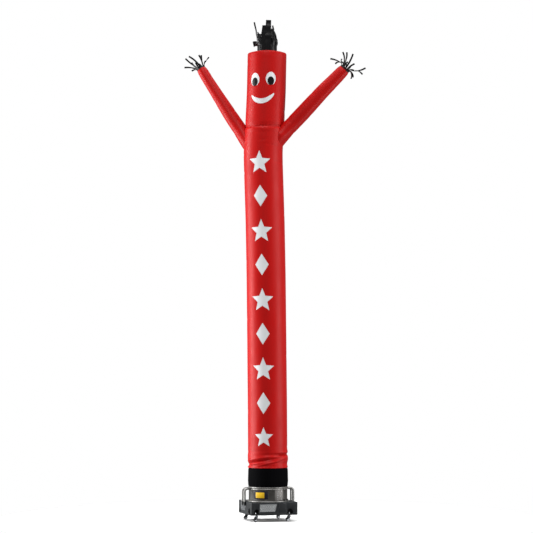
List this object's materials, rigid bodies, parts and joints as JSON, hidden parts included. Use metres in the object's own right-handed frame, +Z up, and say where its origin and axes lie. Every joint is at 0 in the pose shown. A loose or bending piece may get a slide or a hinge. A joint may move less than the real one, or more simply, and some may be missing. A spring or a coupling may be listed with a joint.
{
  "type": "inflatable air dancer on its fan blower",
  "caption": "Tall sewn cloth tube figure with raised arms, smiling face and black tassels, strapped to a wheeled fan blower.",
  "frame": {"origin": "on the floor under the middle of the whole model's outline", "axes": "+Z up the dancer; -Y out of the blower box's front; +X to the right of the front"},
  "size_m": [1.9374, 1.1188, 5.8121],
  "materials": {
    "red_cloth": "ripstop nylon, satin",
    "white_cloth": "printed nylon, matt",
    "black_cloth": "nylon, matt",
    "drum_paint": "satin paint",
    "box_plastic": "moulded, fine texture",
    "mesh_steel": "bare expanded mesh",
    "handle_steel": "brushed tube",
    "plated_steel": "bright zinc",
    "wheel_rubber": "matt",
    "label_dark": "blank plate",
    "label_yellow": "blank panel",
    "knob_plastic": "moulded"
  },
  "bodies": {
    "root": {"arm_left": "red_cloth", "arm_right": "red_cloth", "base_box": "box_plastic", "body_tube": "red_cloth", "caster_stud_back_left": "plated_steel", "caster_stud_back_right": "plated_steel", "caster_stud_front_left": "plated_steel", "caster_stud_front_right": "plated_steel", "cord_gland": "knob_plastic", "crown_panel": "red_cloth", "cuff": "black_cloth", "eye_left": "white_cloth", "eye_right": "white_cloth", "fan_drum": "drum_paint", "flange_knob_1": "knob_plastic", "flange_knob_2": "knob_plastic", "floor_plate": "box_plastic", "fringe_left": "black_cloth", "fringe_right": "black_cloth", "front_cover": "box_plastic", "hair_fringe": "black_cloth", "handle_left_back": "handle_steel", "handle_left_front": "handle_steel", "handle_right_back": "handle_steel", "handle_right_front": "handle_steel", "head_tube": "red_cloth", "label_block": "label_yellow", "label_plate": "label_dark", "lozenge_1": "white_cloth", "lozenge_2": "white_cloth", "lozenge_3": "white_cloth", "lozenge_4": "white_cloth", "mesh_back": "mesh_steel", "mesh_front": "mesh_steel", "mesh_left": "mesh_steel", "mesh_right": "mesh_steel", "mouth": "white_cloth", "pupil_left": "black_cloth", "pupil_right": "black_cloth", "seam_plate": "drum_paint", "star_1": "white_cloth", "star_2": "white_cloth", "star_3": "white_cloth", "star_4": "white_cloth", "star_5": "white_cloth"},
    "fork_front_left": {"caster_fork_front_left": "plated_steel"},
    "wheel_front_left": {"caster_wheel_front_left": "wheel_rubber"},
    "fork_front_right": {"caster_fork_front_right": "plated_steel"},
    "wheel_front_right": {"caster_wheel_front_right": "wheel_rubber"},
    "fork_back_left": {"caster_fork_back_left": "plated_steel"},
    "wheel_back_left": {"caster_wheel_back_left": "wheel_rubber"},
    "fork_back_right": {"caster_fork_back_right": "plated_steel"},
    "wheel_back_right": {"caster_wheel_back_right": "wheel_rubber"}
  },
  "joints": [
    {"name": "swivel_front_left", "type": "hinge", "parent": "root", "child": "fork_front_left", "pos_m": [-0.24073, -0.16888, 0.065], "axis": [0, 0, 1], "continuous": true},
    {"name": "roll_front_left", "type": "hinge", "parent": "fork_front_left", "child": "wheel_front_left", "pos_m": [-0.25769, -0.17948, 0.02452], "axis": [0.5299, -0.848, 0], "continuous": true},
    {"name": "swivel_front_right", "type": "hinge", "parent": "root", "child": "fork_front_right", "pos_m": [0.15127, -0.16888, 0.065], "axis": [0, 0, 1], "continuous": true},
    {"name": "roll_front_right", "type": "hinge", "parent": "fork_front_right", "child": "wheel_front_right", "pos_m": [0.13205, -0.1744, 0.02452], "axis": [0.2756, -0.9613, 0], "continuous": true},
    {"name": "swivel_back_left", "type": "hinge", "parent": "root", "child": "fork_back_left", "pos_m": [-0.24073, 0.22312, 0.065], "axis": [0, 0, 1], "continuous": true},
    {"name": "roll_back_left", "type": "hinge", "parent": "fork_back_left", "child": "wheel_back_left", "pos_m": [-0.26053, 0.22033, 0.02452], "axis": [0.1392, -0.9903, 0], "continuous": true},
    {"name": "swivel_back_right", "type": "hinge", "parent": "root", "child": "fork_back_right", "pos_m": [0.15127, 0.22312, 0.065], "axis": [0, 0, 1], "continuous": true},
    {"name": "roll_back_right", "type": "hinge", "parent": "fork_back_right", "child": "wheel_back_right", "pos_m": [0.133, 0.21498, 0.02452], "axis": [0.4067, -0.9135, 0], "continuous": true}
  ]
}
